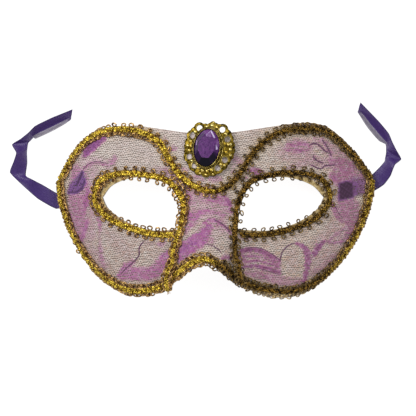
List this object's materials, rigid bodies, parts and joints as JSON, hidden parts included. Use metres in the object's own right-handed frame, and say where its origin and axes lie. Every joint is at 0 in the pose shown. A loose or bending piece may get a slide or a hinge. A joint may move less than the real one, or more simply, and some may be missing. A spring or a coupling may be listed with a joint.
{
  "type": "masquerade mask",
  "caption": "Lace-covered half mask for the eyes and nose, edged with looped gold braid, with an oval stone in a pierced gold setting at the brow and a ribbon tie at each side.",
  "frame": {"origin": "middle of the mask's width and height without its ties, on the table plane that its side rims rest on", "axes": "+X across the mask to the viewer's right as it lies face up, +Y towards the forehead, +Z out of the face"},
  "size_m": [0.2365, 0.1146, 0.05],
  "materials": {
    "shell_plastic": "thin frosted see-through sheet, moulded",
    "lace": "cream net lace with a mauve flower figure",
    "gold_braid": "metallic gold thread, twisted core with loops",
    "gold_setting": "bright gold plating on a beaded casting",
    "purple_stone": "clear purple faceted stone, polished",
    "satin_ribbon": "deep violet satin"
  },
  "bodies": {
    "root": {"mask_shell": "shell_plastic", "lace_cover": "lace", "braid_upper": "gold_braid", "braid_lower": "gold_braid", "braid_eye_left": "gold_braid", "braid_eye_right": "gold_braid", "jewel_setting": "gold_setting", "jewel_stone": "purple_stone", "ribbon_left": "satin_ribbon", "ribbon_right": "satin_ribbon"}
  },
  "joints": []
}
